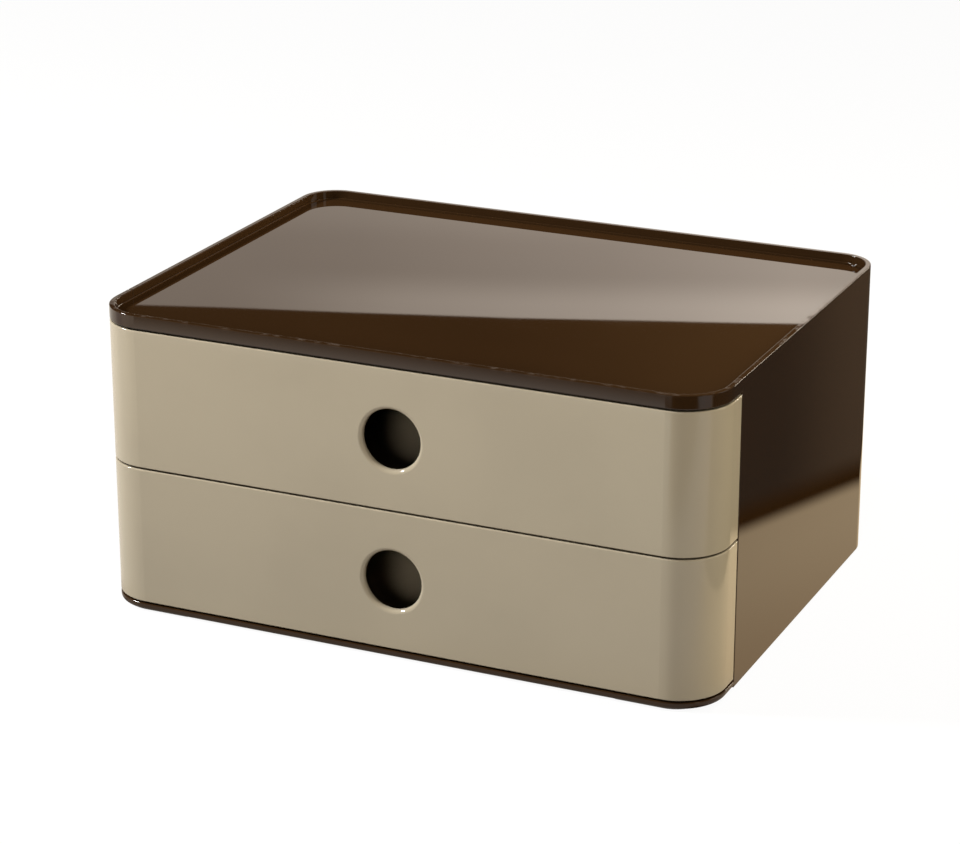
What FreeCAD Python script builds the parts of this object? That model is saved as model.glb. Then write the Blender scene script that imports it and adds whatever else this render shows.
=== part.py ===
import FreeCAD, Part
import math
import os

# Desk file box with two drawers. Millimetres. +X right, +Y to the back, +Z up.
# The origin is on the ground under the middle of the box.

# --- overall sizes ---
WIDTH = 260.0
DEPTH = 195.0
HEIGHT = 125.0
FRONT_CORNER = 19.5        # vertical corner radius at the front
REAR_CORNER = 15.5         # vertical corner radius at the back
EDGE_ROUND = 0.5           # rounding of the outer moulded edges

# --- casing, top panel and base plate ---
CASE_WALL = 2.2
CASE_LIFT = 0.5            # ground to the underside of the casing and base plate
LEDGE_WIDTH = 1.6          # inner ledges that trap the top panel and the base plate
LEDGE_HEIGHT = 2.0
RIM_ROUND = 0.3            # rounding of the rim's outer and inner edges
BEAD_WIDTH = 0.3           # low bead along the top panel's edge
BEAD_ROUND = 0.5           # hollow rounding from the bead down to the top surface
PANEL_FIT = 0.1            # gap between the casing wall and the panels inside it
PANEL_SEAM = 0.2           # gap between the casing's front edge and the bands
TOP_RECESS = 3.5           # rim down to the top surface
TOP_PLATE = 2.0
BASE_PLATE = 2.9
BASE_ROUND = 1.6           # rounding under the front band

# --- drawers ---
DRAWER_GAP = 0.75          # gap above, between and below the fronts
WING_DEPTH = 28.5          # front face back to the seam in the side
WING_SEAM = 0.6            # gap between a wing and the casing
FRONT_WALL = 2.8
HOLE_RADIUS = 12.2
HOLE_FRONT_ROUND = 1.6
HOLE_BACK_ROUND = 0.5
TRAY_WALL = 2.0
TRAY_CORNER = 12.0
TRAY_BOTTOM_ROUND = 4.0
TRAY_INNER_ROUND = 3.0     # rounding between the tray's floor and walls, inside
TRAY_UNDER_GAP = 2.5       # bottom edge of the front up to the tray's underside
TRAY_RIM_DROP = 3.4        # top edge of the front down to the tray's rim
TRAY_REAR_GAP = 2.8        # tray to the casing's back wall
BUFFER_GAP = 0.3           # buffer rib to the casing's back wall
BUFFER_THICKNESS = 3.0
BUFFER_OFFSET = 60.0       # buffer rib from the middle
BUFFER_END_GAP = 8.0       # buffer rib's ends from the tray's floor and rim
DIP_HALF_WIDTH = 35.0      # opening in the tray's front wall behind the finger hole
DIP_BELOW_HOLE = 6.0
DIP_CORNER = 10.0
RIM_EDGE_ROUND = 0.6

# --- runners and stops ---
FRAME_WALL = 2.0
FRAME_CORNER_CLEARANCE = 4.0   # frame's front end behind the centre of the front corner
FRAME_EDGE_CHAMFER = 1.4
FRAME_FLANGE = 8.0
RIB_THICKNESS = 2.0
RUNNER_DEPTH = 7.0             # groove ribs stand this far in from the frame wall
RUNNER_SIDE_GAP = 0.8          # tray wall to rib tips
RUNNER_TIP_GAP = 0.6           # tray runner to frame wall
RUNNER_GAP = 0.3               # above and below the tray runner in its groove
RUNNER_DROP = 13.5             # tray rim down to the top of its runner
DRAWER_TRAVEL = 120.0
STOP_GAP = 0.3                 # left between lug and nib when fully open
LUG_PROUD = 2.4
LUG_LENGTH = 6.0
LUG_HEIGHT = 6.0
LUG_RAMP = 3.0
NIB_OVERLAP = 1.4              # how far the nib reaches over the lug
NIB_LENGTH = 3.0
NIB_SETBACK = 13.0             # nib behind the front end of the frame
TONGUE_SLIT = 1.0
TONGUE_MARGIN = 1.2            # tongue around the nib
TONGUE_LENGTH = 24.0

# --- snap hooks ---
SNAP_WIDTH = 9.0
SNAP_STEM = 1.8
SNAP_BARB = 0.9
SNAP_BARB_LENGTH = 2.2
SNAP_PLAY = 0.2
FRONT_SNAP_INSET = 14.0        # hook from the tray's corner curve
FRONT_SNAP_END = 10.0          # hook from the tray's underside and rim
PANEL_SNAPS = 3
PANEL_SNAP_END = 22.0          # first and last hook from the frame's ends
PANEL_SNAP_INSET = 2.4         # hook from the frame wall
WEB_THICKNESS = 1.6            # corner webs inside a drawer front
WEB_GAP = 0.2                  # corner web to the tray wall

# --- screws and feet ---
SCREW_RADIUS = 1.45
SCREW_LENGTH = 11.0
SCREW_HEAD_RADIUS = 2.8
SCREW_HEAD_HEIGHT = 1.3
SCREW_PLAY = 0.05
SCREW_SINK = 0.2               # head below the underside of the base plate
SCREWS_PER_SIDE = 3
SCREW_END = 16.0               # first and last screw from the frame's ends
CROSS_LENGTH = 3.2
CROSS_WIDTH = 0.7
CROSS_DEPTH = 0.8
BOSS_RADIUS = 3.3
BOSS_EXTRA = 1.5               # boss beyond the screw's tip
FOOT_WIDTH = 34.7
FOOT_DEPTH = 18.0
FOOT_CORNER = 13.3             # the corner that follows the box
FOOT_SMALL_CORNER = 3.0
FOOT_SIDE_INSET = 3.0          # from the side edge of the base plate
FOOT_END_INSET = 1.8           # from the front or rear edge of the base plate
FOOT_POCKET = 1.0
FOOT_PLAY = 0.1
FOOT_EDGE_ROUND = 0.25

# --- places worked out from the sizes above ---
FRONT_Y = -DEPTH / 2
REAR_Y = DEPTH / 2
SEAM_Y = FRONT_Y + WING_DEPTH
BASE_TOP = CASE_LIFT + BASE_PLATE
TOP_SURFACE = HEIGHT - TOP_RECESS
TOP_UNDER = TOP_SURFACE - TOP_PLATE
FRONT_HEIGHT = (TOP_UNDER - BASE_TOP - 3 * DRAWER_GAP) / 2
LOWER_Z = BASE_TOP + DRAWER_GAP
UPPER_Z = LOWER_Z + FRONT_HEIGHT + DRAWER_GAP
CASE_FRONT = SEAM_Y + WING_SEAM / 2
WING_END = SEAM_Y - WING_SEAM / 2
BAND_END = CASE_FRONT - PANEL_SEAM
FRAME_OUT = WIDTH / 2 - CASE_WALL - LEDGE_WIDTH
FRAME_IN = FRAME_OUT - FRAME_WALL
FRAME_FRONT = FRONT_Y + FRONT_CORNER - FRAME_CORNER_CLEARANCE
FRAME_REAR = REAR_Y - REAR_CORNER
RIB_TIP = FRAME_IN - RUNNER_DEPTH
TRAY_HALF = RIB_TIP - RUNNER_SIDE_GAP
TRAY_FRONT = FRONT_Y + FRONT_WALL
TRAY_REAR = REAR_Y - CASE_WALL - TRAY_REAR_GAP
RUNNER_TIP = FRAME_IN - RUNNER_TIP_GAP
RUNNER_FRONT = FRONT_Y + FRONT_CORNER
RUNNER_REAR = TRAY_REAR - TRAY_CORNER
NIB_FRONT = FRAME_FRONT + NIB_SETBACK
LUG_FRONT = NIB_FRONT + NIB_LENGTH + STOP_GAP + DRAWER_TRAVEL
SNAP_X = TRAY_HALF - TRAY_CORNER - FRONT_SNAP_INSET
BOSS_X = FRAME_IN - BOSS_RADIUS
FAR = 2 * max(WIDTH, DEPTH, HEIGHT)

X_AXIS = FreeCAD.Vector(1, 0, 0)
Y_AXIS = FreeCAD.Vector(0, 1, 0)
Z_AXIS = FreeCAD.Vector(0, 0, 1)
ON_EDGE = 0.01             # how near a midpoint counts as on an outline
CUT_PAST = 1.0             # how far a cutting tool runs past the face it cuts


class Plan:
    """A rectangle with rounded corners, seen from above."""

    def __init__(self, left, right, front, rear, radii):
        """radii: front left, front right, rear right, rear left."""
        self.left, self.right, self.front, self.rear = left, right, front, rear
        self.radii = radii

    def inset(self, by):
        radii = [max(radius - by, EDGE_ROUND) for radius in self.radii]
        return Plan(self.left + by, self.right - by, self.front + by, self.rear - by, radii)

    def corners(self):
        """Each corner as its point, its inward signs and its radius, counterclockwise."""
        points = [(self.left, self.front), (self.right, self.front),
                  (self.right, self.rear), (self.left, self.rear)]
        inward = [(1, 1), (-1, 1), (-1, -1), (1, -1)]
        return list(zip(points, inward, self.radii))

    def prism(self, low, high):
        edges = []
        stops = []
        for index, ((x, y), (sx, sy), radius) in enumerate(self.corners()):
            along_x = FreeCAD.Vector(x + sx * radius, y, low)
            along_y = FreeCAD.Vector(x, y + sy * radius, low)
            bulge = radius * (1 - math.sqrt(0.5))
            middle = FreeCAD.Vector(x + sx * bulge, y + sy * bulge, low)
            first, last = (along_y, along_x) if index % 2 == 0 else (along_x, along_y)
            stops.append((first, last))
            edges.append(Part.Arc(first, middle, last).toShape())
        for index, (_, last) in enumerate(stops):
            following = stops[(index + 1) % 4][0]
            edges.append(Part.LineSegment(last, following).toShape())
        outline = Part.Wire(Part.__sortEdges__(edges))
        return Part.Face(outline).extrude(Z_AXIS * (high - low))

    def depth(self, point):
        """How far inside the outline a point lies."""
        for (x, y), (sx, sy), radius in self.corners():
            centre_x, centre_y = x + sx * radius, y + sy * radius
            if (point.x - centre_x) * sx < 0 and (point.y - centre_y) * sy < 0:
                return radius - math.hypot(point.x - centre_x, point.y - centre_y)
        return min(point.x - self.left, self.right - point.x,
                   point.y - self.front, self.rear - point.y)


BODY_PLAN = Plan(-WIDTH / 2, WIDTH / 2, FRONT_Y, REAR_Y,
                 [FRONT_CORNER, FRONT_CORNER, REAR_CORNER, REAR_CORNER])
TRAY_PLAN = Plan(-TRAY_HALF, TRAY_HALF, TRAY_FRONT, TRAY_REAR, [TRAY_CORNER] * 4)


def block(x0, x1, y0, y1, z0, z1):
    corner = FreeCAD.Vector(min(x0, x1), min(y0, y1), min(z0, z1))
    return Part.makeBox(abs(x1 - x0), abs(y1 - y0), abs(z1 - z0), corner)


def ahead_of(y):
    """Everything in front of a plane."""
    return block(-FAR, FAR, -FAR, y, -FAR, FAR)


def behind(y):
    """Everything behind a plane."""
    return block(-FAR, FAR, y, FAR, -FAR, FAR)


def fuse(pieces):
    return pieces[0].multiFuse(pieces[1:]).removeSplitter()


def single(shape):
    """The one solid in a shape."""
    if len(shape.Solids) != 1:
        raise ValueError("expected one solid, got %d" % len(shape.Solids))
    return shape.Solids[0]


def middle_of(edge):
    return edge.valueAt((edge.FirstParameter + edge.LastParameter) / 2)


def ring_edges(shape, plan, height):
    """The edges that follow a plan's outline at one height."""
    found = []
    for edge in shape.Edges:
        point = middle_of(edge)
        if abs(point.z - height) < ON_EDGE and abs(plan.depth(point)) < ON_EDGE:
            found.append(edge)
    return found


def upright_edges(shape, y, x):
    """The upright edges at one depth, at plus and minus x."""
    found = []
    for edge in shape.Edges:
        point = middle_of(edge)
        flat = edge.BoundBox.YLength < ON_EDGE and edge.BoundBox.XLength < ON_EDGE
        if flat and abs(point.y - y) < ON_EDGE and abs(abs(point.x) - x) < ON_EDGE:
            found.append(edge)
    return found


def evenly(first, last, count):
    return [first + (last - first) * index / (count - 1) for index in range(count)]


def mirrored(shape):
    return shape.mirror(FreeCAD.Vector(0, 0, 0), X_AXIS)


def prism_along(points, direction, length):
    """A polygon through the points, swept along a direction."""
    outline = Part.makePolygon([FreeCAD.Vector(*point) for point in points + points[:1]])
    return Part.Face(outline).extrude(direction * length)


# --- casing ---

def ledge(low, high):
    outer = BODY_PLAN.inset(CASE_WALL / 2).prism(low, high)
    inner = BODY_PLAN.inset(CASE_WALL + LEDGE_WIDTH).prism(low - CUT_PAST, high + CUT_PAST)
    return outer.cut(inner).common(behind(CASE_FRONT))


def outer_casing():
    outer = BODY_PLAN.prism(CASE_LIFT, HEIGHT)
    outer = outer.makeFillet(RIM_ROUND, ring_edges(outer, BODY_PLAN, HEIGHT))
    outer = outer.makeFillet(EDGE_ROUND, ring_edges(outer, BODY_PLAN, CASE_LIFT))
    inner_plan = BODY_PLAN.inset(CASE_WALL)
    wall = outer.cut(inner_plan.prism(CASE_LIFT - CUT_PAST, HEIGHT + CUT_PAST))
    wall = wall.common(behind(CASE_FRONT))
    wall = wall.makeFillet(EDGE_ROUND / 2, upright_edges(wall, CASE_FRONT, WIDTH / 2))
    wall = wall.makeFillet(RIM_ROUND, ring_edges(wall, inner_plan, HEIGHT))
    ledges = [ledge(BASE_TOP, BASE_TOP + LEDGE_HEIGHT), ledge(TOP_UNDER - LEDGE_HEIGHT, TOP_UNDER)]
    return single(fuse([wall] + ledges))


# --- top panel ---

def panel_snap_places():
    return evenly(FRAME_FRONT + PANEL_SNAP_END, FRAME_REAR - PANEL_SNAP_END, PANEL_SNAPS)


def panel_snap(y):
    """A hook under the top panel, on the right; its barb catches under the frame's flange."""
    outer = FRAME_IN - PANEL_SNAP_INSET
    inner = outer - SNAP_STEM
    catch = TOP_UNDER - FRAME_WALL - SNAP_PLAY
    low = catch - SNAP_BARB_LENGTH
    stem = block(inner, outer, y - SNAP_WIDTH / 2, y + SNAP_WIDTH / 2, low, TOP_UNDER)
    barb_points = [(outer, y - SNAP_WIDTH / 2, low), (outer + SNAP_BARB, y - SNAP_WIDTH / 2, catch),
                   (outer, y - SNAP_WIDTH / 2, catch)]
    return fuse([stem, prism_along(barb_points, Y_AXIS, SNAP_WIDTH)])


def top_panel():
    plate_plan = BODY_PLAN.inset(CASE_WALL + PANEL_FIT)
    plate = plate_plan.prism(TOP_UNDER, TOP_SURFACE + BEAD_ROUND)
    well_plan = plate_plan.inset(BEAD_WIDTH)
    well = well_plan.prism(TOP_SURFACE, HEIGHT + CUT_PAST)
    well = well.makeFillet(BEAD_ROUND, ring_edges(well, well_plan, TOP_SURFACE))
    front = BODY_PLAN.prism(TOP_UNDER, HEIGHT)
    front = front.makeFillet(RIM_ROUND, ring_edges(front, BODY_PLAN, HEIGHT))
    front = front.makeFillet(EDGE_ROUND, ring_edges(front, BODY_PLAN, TOP_UNDER))
    rim_plan = BODY_PLAN.inset(CASE_WALL)
    front = front.cut(rim_plan.prism(TOP_SURFACE + BEAD_ROUND, HEIGHT + CUT_PAST))
    front = front.common(ahead_of(BAND_END))
    front = front.makeFillet(RIM_ROUND, ring_edges(front, rim_plan, HEIGHT))
    right = [panel_snap(y) for y in panel_snap_places()]
    left = [mirrored(snap) for snap in right]
    return single(fuse([front, plate] + right + left).cut(well))


# --- base plate, feet and screws ---

def screw_places():
    along = evenly(FRAME_FRONT + SCREW_END, FRAME_REAR - SCREW_END, SCREWS_PER_SIDE)
    return [(side * BOSS_X, y) for side in (-1, 1) for y in along]


def foot_plan(side, end, grow):
    """The plan of one foot; side is -1 left or 1 right, end is -1 front or 1 rear."""
    outer_x = side * (WIDTH / 2 - CASE_WALL - PANEL_FIT - FOOT_SIDE_INSET)
    outer_y = FRONT_Y + FOOT_END_INSET if end < 0 else REAR_Y - CASE_WALL - PANEL_FIT - FOOT_END_INSET
    xs = sorted([outer_x, outer_x - side * FOOT_WIDTH])
    ys = sorted([outer_y, outer_y - end * FOOT_DEPTH])
    signs = [(-1, -1), (1, -1), (1, 1), (-1, 1)]
    radii = [FOOT_CORNER if sign == (side, end) else FOOT_SMALL_CORNER for sign in signs]
    return Plan(xs[0], xs[1], ys[0], ys[1], radii).inset(-grow)


def foot(side, end):
    plan = foot_plan(side, end, 0)
    pad = plan.prism(0, CASE_LIFT + FOOT_POCKET)
    return pad.makeFillet(FOOT_EDGE_ROUND, ring_edges(pad, plan, 0))


def base_plate():
    plate = BODY_PLAN.inset(CASE_WALL + PANEL_FIT).prism(CASE_LIFT, BASE_TOP)
    front = BODY_PLAN.prism(CASE_LIFT, BASE_TOP)
    front = front.makeFillet(BASE_ROUND, ring_edges(front, BODY_PLAN, CASE_LIFT))
    front = front.makeFillet(EDGE_ROUND, ring_edges(front, BODY_PLAN, BASE_TOP))
    front = front.common(ahead_of(BAND_END))
    plate = fuse([front, plate])
    tools = []
    for side in (-1, 1):
        for end in (-1, 1):
            plan = foot_plan(side, end, FOOT_PLAY)
            tools.append(plan.prism(CASE_LIFT - CUT_PAST, CASE_LIFT + FOOT_POCKET))
    head_top = CASE_LIFT + SCREW_SINK + SCREW_HEAD_HEIGHT
    for x, y in screw_places():
        centre = FreeCAD.Vector(x, y, 0)
        tools.append(Part.makeCylinder(SCREW_RADIUS + SCREW_PLAY, BASE_TOP + CUT_PAST, centre))
        tools.append(Part.makeCylinder(SCREW_HEAD_RADIUS + SCREW_PLAY, head_top, centre))
    return single(plate.cut(tools))


def base_screw(x, y):
    low = CASE_LIFT + SCREW_SINK
    centre = FreeCAD.Vector(x, y, low)
    head = Part.makeCylinder(SCREW_HEAD_RADIUS, SCREW_HEAD_HEIGHT, centre)
    shank = Part.makeCylinder(SCREW_RADIUS, SCREW_LENGTH, centre)
    tip = [edge for edge in shank.Edges if abs(edge.BoundBox.ZMin - low - SCREW_LENGTH) < ON_EDGE]
    shank = shank.makeChamfer(SCREW_RADIUS / 2, tip)
    half, wide = CROSS_LENGTH / 2, CROSS_WIDTH / 2
    cross = [block(x - half, x + half, y - wide, y + wide, low, low + CROSS_DEPTH),
             block(x - wide, x + wide, y - half, y + half, low, low + CROSS_DEPTH)]
    return single(fuse([head, shank]).cut(cross))


def base_screws():
    return Part.makeCompound([base_screw(x, y) for x, y in screw_places()])


# --- side frames ---

def groove_ribs(front_z):
    """The two ribs that hold one drawer's runner."""
    top = runner_top(front_z)
    bottom = top - RIB_THICKNESS
    lower = block(RIB_TIP, FRAME_IN, FRAME_FRONT, FRAME_REAR,
                  bottom - RUNNER_GAP - RIB_THICKNESS, bottom - RUNNER_GAP)
    upper = block(RIB_TIP, FRAME_IN, FRAME_FRONT, FRAME_REAR,
                  top + RUNNER_GAP, top + RUNNER_GAP + RIB_THICKNESS)
    return [lower, upper]


def stop_nib(front_z):
    """A nib on the frame that the tray's lug meets when the drawer is fully open."""
    low, high = lug_heights(front_z)
    tip = TRAY_HALF + LUG_PROUD - NIB_OVERLAP
    points = [(FRAME_IN, NIB_FRONT - LUG_RAMP, low), (tip, NIB_FRONT, low),
              (tip, NIB_FRONT + NIB_LENGTH, low), (FRAME_IN, NIB_FRONT + NIB_LENGTH, low)]
    return prism_along(points, Z_AXIS, high - low)


def tongue_slits(front_z):
    """Slits above, below and in front of the nib, so that it can spring outwards."""
    low, high = lug_heights(front_z)
    low, high = low - TONGUE_MARGIN, high + TONGUE_MARGIN
    front = NIB_FRONT - LUG_RAMP - TONGUE_MARGIN
    rear = front + TONGUE_LENGTH
    outside = FRAME_OUT + CUT_PAST
    return [block(FRAME_IN, outside, front, rear, low - TONGUE_SLIT, low),
            block(FRAME_IN, outside, front, rear, high, high + TONGUE_SLIT),
            block(FRAME_IN, outside, front - TONGUE_SLIT, front, low - TONGUE_SLIT, high + TONGUE_SLIT)]


def right_side_frame():
    wall = block(FRAME_IN, FRAME_OUT, FRAME_FRONT, FRAME_REAR, BASE_TOP, TOP_UNDER)
    wall = wall.makeChamfer(FRAME_EDGE_CHAMFER, upright_edges(wall, FRAME_FRONT, FRAME_OUT))
    flange_tip = FRAME_IN - FRAME_FLANGE
    flanges = [block(flange_tip, FRAME_IN, FRAME_FRONT, FRAME_REAR, BASE_TOP, BASE_TOP + FRAME_WALL),
               block(flange_tip, FRAME_IN, FRAME_FRONT, FRAME_REAR, TOP_UNDER - FRAME_WALL, TOP_UNDER)]
    screw_tip = CASE_LIFT + SCREW_SINK + SCREW_LENGTH
    bosses = []
    tools = []
    for x, y in screw_places():
        if x > 0:
            centre = FreeCAD.Vector(x, y, BASE_TOP)
            bosses.append(Part.makeCylinder(BOSS_RADIUS, screw_tip + BOSS_EXTRA - BASE_TOP, centre))
            bore = screw_tip + SCREW_PLAY - BASE_TOP + CUT_PAST
            tools.append(Part.makeCylinder(SCREW_RADIUS + SCREW_PLAY, bore, centre - Z_AXIS * CUT_PAST))
    ribs = []
    for front_z in (LOWER_Z, UPPER_Z):
        ribs += groove_ribs(front_z)
        ribs.append(stop_nib(front_z))
        tools += tongue_slits(front_z)
    for y in panel_snap_places():
        outer = FRAME_IN - PANEL_SNAP_INSET + SNAP_PLAY
        inner = outer - SNAP_STEM - SNAP_BARB - 2 * SNAP_PLAY
        half = SNAP_WIDTH / 2 + SNAP_PLAY
        tools.append(block(inner, outer, y - half, y + half,
                           TOP_UNDER - FRAME_WALL - CUT_PAST, TOP_UNDER + CUT_PAST))
    return single(fuse([wall] + flanges + bosses + ribs).cut(tools))


# --- drawers; front_z is the bottom edge of a drawer's front ---

def tray_underside(front_z):
    return front_z + TRAY_UNDER_GAP


def tray_rim(front_z):
    return front_z + FRONT_HEIGHT - TRAY_RIM_DROP


def runner_top(front_z):
    return tray_rim(front_z) - RUNNER_DROP


def lug_heights(front_z):
    """Low and high ends of the stop lug, midway between the groove and the tray's rim."""
    groove_top = runner_top(front_z) + RUNNER_GAP + RIB_THICKNESS
    middle = (groove_top + tray_rim(front_z)) / 2
    return middle - LUG_HEIGHT / 2, middle + LUG_HEIGHT / 2


def hole_height(front_z):
    return front_z + FRONT_HEIGHT / 2


def front_snap_places(front_z):
    heights = (tray_underside(front_z) + FRONT_SNAP_END, tray_rim(front_z) - FRONT_SNAP_END)
    return [(side * SNAP_X, z) for side in (-1, 1) for z in heights]


def finger_dip(front_z):
    """The opening in the tray's front wall that leaves room for a finger."""
    low = hole_height(front_z) - HOLE_RADIUS - DIP_BELOW_HOLE
    high = tray_rim(front_z) + DIP_CORNER
    inside = TRAY_FRONT + TRAY_WALL + TRAY_INNER_ROUND
    dip = block(-DIP_HALF_WIDTH, DIP_HALF_WIDTH, TRAY_FRONT - CUT_PAST, inside, low, high)
    lower_corners = [edge for edge in dip.Edges if edge.BoundBox.YLength > TRAY_WALL
                     and abs(middle_of(edge).z - low) < ON_EDGE]
    return dip.makeFillet(DIP_CORNER, lower_corners)


def tray_lug(front_z):
    """The lug on the right wall that meets the frame's nib."""
    low, high = lug_heights(front_z)
    inner, outer = TRAY_HALF - TRAY_WALL / 2, TRAY_HALF + LUG_PROUD
    points = [(inner, LUG_FRONT, low), (outer, LUG_FRONT, low), (outer, LUG_FRONT + LUG_LENGTH, low),
              (inner, LUG_FRONT + LUG_LENGTH + LUG_RAMP, low)]
    return prism_along(points, Z_AXIS, high - low)


def drawer_tray(front_z):
    low, high = tray_underside(front_z), tray_rim(front_z)
    outer = TRAY_PLAN.prism(low, high)
    outer = outer.makeFillet(TRAY_BOTTOM_ROUND, ring_edges(outer, TRAY_PLAN, low))
    inner_plan = TRAY_PLAN.inset(TRAY_WALL)
    inner = inner_plan.prism(low + TRAY_WALL, high + CUT_PAST)
    inner = inner.makeFillet(TRAY_INNER_ROUND, ring_edges(inner, inner_plan, low + TRAY_WALL))
    tray = outer.cut(inner)
    rims = ring_edges(tray, inner_plan, high) + ring_edges(tray, TRAY_PLAN, high)
    tray = tray.makeFillet(RIM_EDGE_ROUND, rims)
    top = runner_top(front_z)
    wall_middle = TRAY_HALF - TRAY_WALL / 2
    runner = block(wall_middle, RUNNER_TIP, RUNNER_FRONT, RUNNER_REAR, top - RIB_THICKNESS, top)
    side_pieces = [runner, tray_lug(front_z)]
    pieces = side_pieces + [mirrored(piece) for piece in side_pieces]
    for x in (-BUFFER_OFFSET, BUFFER_OFFSET):
        pieces.append(block(x - BUFFER_THICKNESS / 2, x + BUFFER_THICKNESS / 2,
                            TRAY_REAR - TRAY_WALL / 2, REAR_Y - CASE_WALL - BUFFER_GAP,
                            low + BUFFER_END_GAP, high - BUFFER_END_GAP))
    tools = [finger_dip(front_z)]
    half_wide, half_high = SNAP_WIDTH / 2 + SNAP_PLAY, SNAP_STEM / 2 + SNAP_PLAY
    for x, z in front_snap_places(front_z):
        tools.append(block(x - half_wide, x + half_wide,
                           TRAY_FRONT - CUT_PAST, TRAY_FRONT + TRAY_WALL + CUT_PAST,
                           z - half_high, z + half_high + SNAP_BARB))
    return single(fuse([tray] + pieces).cut(tools))


def front_snap(x, z):
    """A hook on the back of a front; its barb catches behind the tray's front wall."""
    root = TRAY_FRONT - FRONT_WALL / 2
    catch = TRAY_FRONT + TRAY_WALL + SNAP_PLAY
    tip = catch + SNAP_BARB_LENGTH
    left, right = x - SNAP_WIDTH / 2, x + SNAP_WIDTH / 2
    low, high = z - SNAP_STEM / 2, z + SNAP_STEM / 2
    points = [(left, catch, high), (left, tip, high), (left, catch, high + SNAP_BARB)]
    return fuse([block(left, right, root, tip, low, high), prism_along(points, X_AXIS, SNAP_WIDTH)])


def corner_webs(front_z):
    """Flat webs in the right front corner, between the wing and the tray."""
    webs = []
    inner_x = TRAY_HALF + WEB_GAP
    for z in (tray_underside(front_z) + FRONT_SNAP_END, tray_rim(front_z) - FRONT_SNAP_END):
        web = BODY_PLAN.inset(FRONT_WALL / 2).prism(z - WEB_THICKNESS / 2, z + WEB_THICKNESS / 2)
        webs.append(web.common(block(inner_x, FAR, -FAR, FRAME_FRONT - WEB_THICKNESS, -FAR, FAR)))
    return webs


def hole_edges(shape, y):
    """The finger hole's edge on the front or the back face."""
    circles = [edge for edge in shape.Edges if isinstance(edge.Curve, Part.Circle)]
    return [edge for edge in circles if abs(edge.Curve.Radius - HOLE_RADIUS) < ON_EDGE
            and abs(middle_of(edge).y - y) < ON_EDGE]


def drawer_front(front_z):
    top = front_z + FRONT_HEIGHT
    skin = BODY_PLAN.prism(front_z, top).common(ahead_of(WING_END))
    edges = ring_edges(skin, BODY_PLAN, top) + ring_edges(skin, BODY_PLAN, front_z)
    edges += upright_edges(skin, WING_END, WIDTH / 2)
    skin = skin.makeFillet(EDGE_ROUND, edges)
    skin = skin.cut(BODY_PLAN.inset(FRONT_WALL).prism(front_z - CUT_PAST, top + CUT_PAST))
    centre = FreeCAD.Vector(0, FRONT_Y - CUT_PAST, hole_height(front_z))
    skin = skin.cut(Part.makeCylinder(HOLE_RADIUS, FRONT_WALL + 2 * CUT_PAST, centre, Y_AXIS))
    skin = skin.makeFillet(HOLE_FRONT_ROUND, hole_edges(skin, FRONT_Y))
    skin = skin.makeFillet(HOLE_BACK_ROUND, hole_edges(skin, TRAY_FRONT))
    webs = corner_webs(front_z)
    pieces = webs + [mirrored(web) for web in webs]
    pieces += [front_snap(x, z) for x, z in front_snap_places(front_z)]
    return single(fuse([skin] + pieces))


def parts():
    frame = right_side_frame()
    named = {
        "outer_casing": outer_casing(),
        "top_panel": top_panel(),
        "base_plate": base_plate(),
        "base_screws": base_screws(),
        "right_side_frame": frame,
        "left_side_frame": mirrored(frame),
    }
    for name, front_z in (("lower_drawer", LOWER_Z), ("upper_drawer", UPPER_Z)):
        named[name + "_front"] = drawer_front(front_z)
        named[name + "_tray"] = drawer_tray(front_z)
    for side_name, side in (("left", -1), ("right", 1)):
        for end_name, end in (("front", -1), ("rear", 1)):
            named[end_name + "_" + side_name + "_foot"] = foot(side, end)
    return named


os.makedirs("parts", exist_ok=True)
for part_name, part_shape in parts().items():
    if not part_shape.isValid():
        raise ValueError(part_name + " is not a valid shape")
    part_shape.exportStep("parts/" + part_name + ".step")
    print(part_name, len(part_shape.Solids), "solids", round(part_shape.Volume), "mm3")
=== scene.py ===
import math

import bpy
from bpy.props import FloatProperty, FloatVectorProperty, PointerProperty
from bpy.types import Operator, Panel, PropertyGroup
from mathutils import Matrix, Vector


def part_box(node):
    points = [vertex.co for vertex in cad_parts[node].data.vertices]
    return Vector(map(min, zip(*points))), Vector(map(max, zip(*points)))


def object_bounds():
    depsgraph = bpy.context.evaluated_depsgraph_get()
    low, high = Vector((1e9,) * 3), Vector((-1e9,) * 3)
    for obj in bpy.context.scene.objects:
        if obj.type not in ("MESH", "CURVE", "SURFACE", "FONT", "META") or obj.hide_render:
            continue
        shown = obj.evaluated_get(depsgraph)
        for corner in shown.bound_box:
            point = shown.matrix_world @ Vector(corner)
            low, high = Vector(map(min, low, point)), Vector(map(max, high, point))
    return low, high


bl_info = {
    "name": "Desk File Box",
    "version": (1, 0, 0),
    "blender": (4, 5, 0),
    "location": "3D View > Sidebar > File Box",
    "description": "Finishes and studio for a desk file box with two drawers",
    "category": "Object",
}

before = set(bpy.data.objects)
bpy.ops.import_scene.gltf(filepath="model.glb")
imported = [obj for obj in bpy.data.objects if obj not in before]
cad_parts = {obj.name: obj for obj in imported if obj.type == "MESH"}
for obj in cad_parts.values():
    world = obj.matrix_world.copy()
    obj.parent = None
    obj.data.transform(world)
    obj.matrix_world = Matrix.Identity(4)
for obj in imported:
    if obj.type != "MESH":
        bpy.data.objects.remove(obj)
cad_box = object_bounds()

CASING_NODES = ("outer_casing", "top_panel", "base_plate")
FRONT_NODES = ("upper_drawer_front", "lower_drawer_front")
TRAY_NODES = ("upper_drawer_tray", "lower_drawer_tray")
FRAME_NODES = ("left_side_frame", "right_side_frame")
FOOT_NODES = ("front_left_foot", "front_right_foot", "rear_left_foot", "rear_right_foot")
SCREW_NODES = ("base_screws",)


# --- sizes and colours that can be changed in the panel ---

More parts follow.
